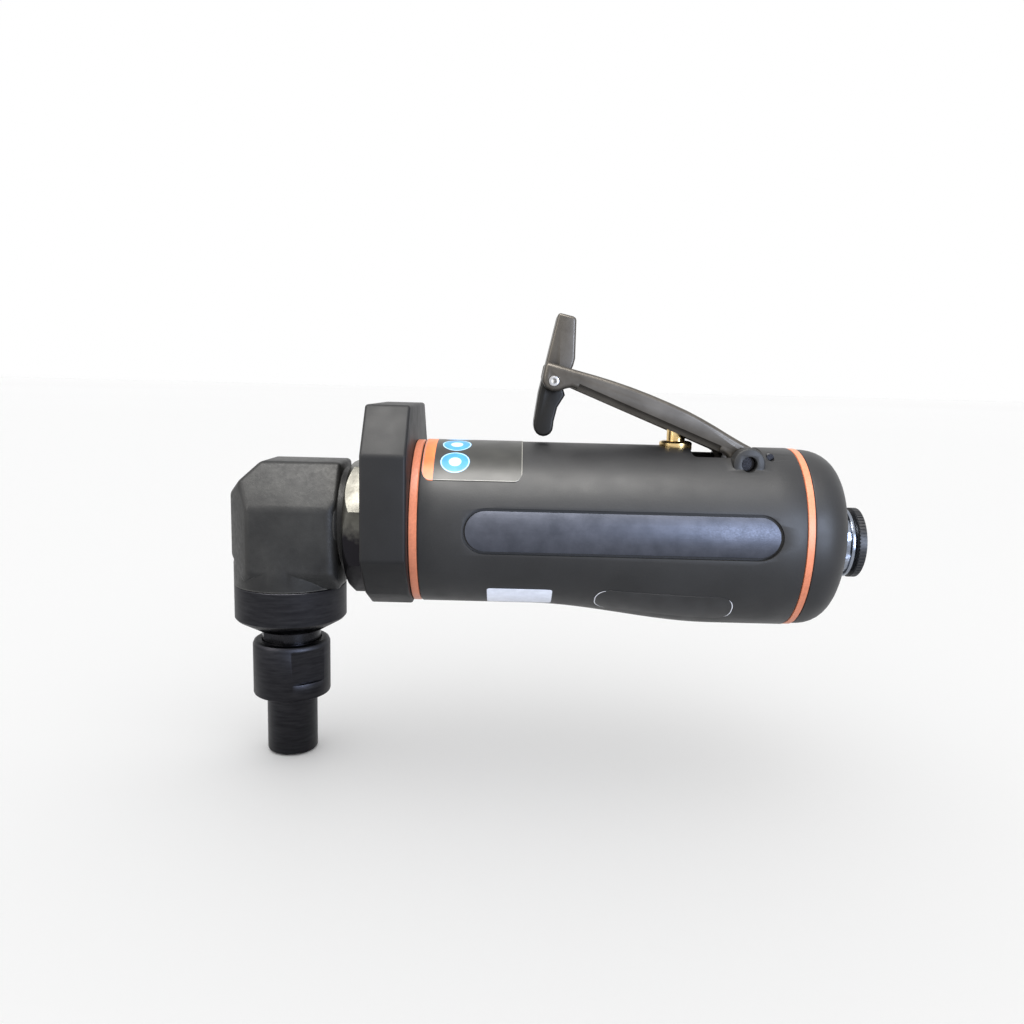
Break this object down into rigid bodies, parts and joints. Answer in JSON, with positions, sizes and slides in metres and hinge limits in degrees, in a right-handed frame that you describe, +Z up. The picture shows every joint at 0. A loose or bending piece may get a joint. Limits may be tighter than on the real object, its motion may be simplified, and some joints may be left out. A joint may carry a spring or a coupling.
{
  "type": "die grinder",
  "caption": "Right-angle air-powered die grinder with a collet for shank-mounted bits, a throttle lever with a safety latch and a threaded air inlet.",
  "frame": {"origin": "centre of the collet mouth, on the spindle axis", "axes": "+X along the grip to the air inlet, +Z up the spindle axis to the lever side, +Y to the left of someone holding the tool"},
  "size_m": [0.1596, 0.049, 0.115],
  "materials": {
    "blackened_steel": "black oxide, satin",
    "forged_black": "black phosphate over a forged surface",
    "ground_steel": "ground",
    "nickel": "nickel plate, satin",
    "guard_composite": "soft matte",
    "grip_composite": "fine matte",
    "orange_ring": "satin",
    "cast_aluminium": "machined casting",
    "plate_foil": "brushed, dark",
    "label_film": "satin film",
    "vane_laminate": "cloth laminate",
    "felt": "pressed felt",
    "inlet_metal": "satin plate",
    "black_ring": "black, knurled",
    "brass": "turned",
    "rubber": "matte",
    "spring_steel": "drawn wire"
  },
  "bodies": {
    "housing": {"angle_head": "forged_black", "bearing_cap": "blackened_steel", "upper_bearing_race": "ground_steel", "lower_bearing_race": "ground_steel", "spindle_seal": "rubber", "clamp_nut": "nickel", "pinion_front_race": "ground_steel", "pinion_rear_race": "ground_steel", "bearing_spacer": "ground_steel", "front_guard": "guard_composite", "front_ring": "orange_ring", "motor_housing": "cast_aluminium", "grip_sleeve": "grip_composite", "nameplate": "plate_foil", "motor_cylinder": "ground_steel", "front_plate": "ground_steel", "rear_plate": "ground_steel", "rotor_front_race": "ground_steel", "rotor_rear_race": "ground_steel", "dowel_pins": "ground_steel", "rear_ring": "orange_ring", "rear_cap": "grip_composite", "muffler": "felt", "inlet_bushing": "inlet_metal", "inlet_screen": "inlet_metal", "valve_bushing": "brass", "valve_seat": "ground_steel", "valve_spring": "spring_steel", "valve_plug": "cast_aluminium", "lever_pin": "blackened_steel", "lever_roll_pin": "blackened_steel", "front_label": "label_film", "data_label": "label_film"},
    "motor_shaft": {"rotor": "ground_steel", "vanes": "vane_laminate", "rotor_front_hub": "ground_steel", "rotor_rear_hub": "ground_steel", "pinion_shaft": "ground_steel", "pinion_front_hub": "ground_steel", "pinion_rear_hub": "ground_steel"},
    "spindle": {"spindle": "blackened_steel", "bevel_gear": "ground_steel", "upper_bearing_hub": "ground_steel", "lower_bearing_hub": "ground_steel", "collet": "ground_steel", "collet_nut": "blackened_steel"},
    "lever": {"throttle_lever": "blackened_steel", "latch_rivet": "ground_steel", "latch_spring": "spring_steel"},
    "latch": {"safety_latch": "blackened_steel"},
    "valve": {"valve_stem": "brass", "stem_seal": "rubber"},
    "swivel": {"swivel_ring": "black_ring"}
  },
  "joints": [
    {"name": "motor_spin", "type": "hinge", "parent": "housing", "child": "motor_shaft", "pos_m": [0.066, 0, 0.0625], "axis": [1, 0, 0], "continuous": true},
    {"name": "spindle_spin", "type": "hinge", "parent": "housing", "child": "spindle", "pos_m": [0, 0, 0.04], "axis": [0, 0, 1], "continuous": true},
    {"name": "lever_press", "type": "hinge", "parent": "housing", "child": "lever", "pos_m": [0.1138, 0, 0.07975], "axis": [0, -1, 0], "range_deg": [0, 7.5], "stiffness_Nm_per_rad": 1, "springref_deg": -14.32},
    {"name": "latch_fold", "type": "hinge", "parent": "lever", "child": "latch", "pos_m": [0.0664, 0, 0.09847], "axis": [0, -1, 0], "range_deg": [0, 79.6]},
    {"name": "valve_slide", "type": "slide", "parent": "housing", "child": "valve", "axis": [0, 0, -1], "range_m": [0, 0.0024], "deforming": ["valve_spring"]},
    {"name": "ring_turn", "type": "hinge", "parent": "housing", "child": "swivel", "pos_m": [0.1445, 0, 0.0593], "axis": [1, 0, 0], "continuous": true}
  ],
  "couplings": [
    {"joint": "spindle_spin", "follows": "motor_spin", "ratio": 0.75},
    {"joint": "latch_fold", "follows": "lever_press", "ratio": 10.6},
    {"joint": "valve_slide", "follows": "lever_press", "m_per_rad": 0.0181}
  ]
}
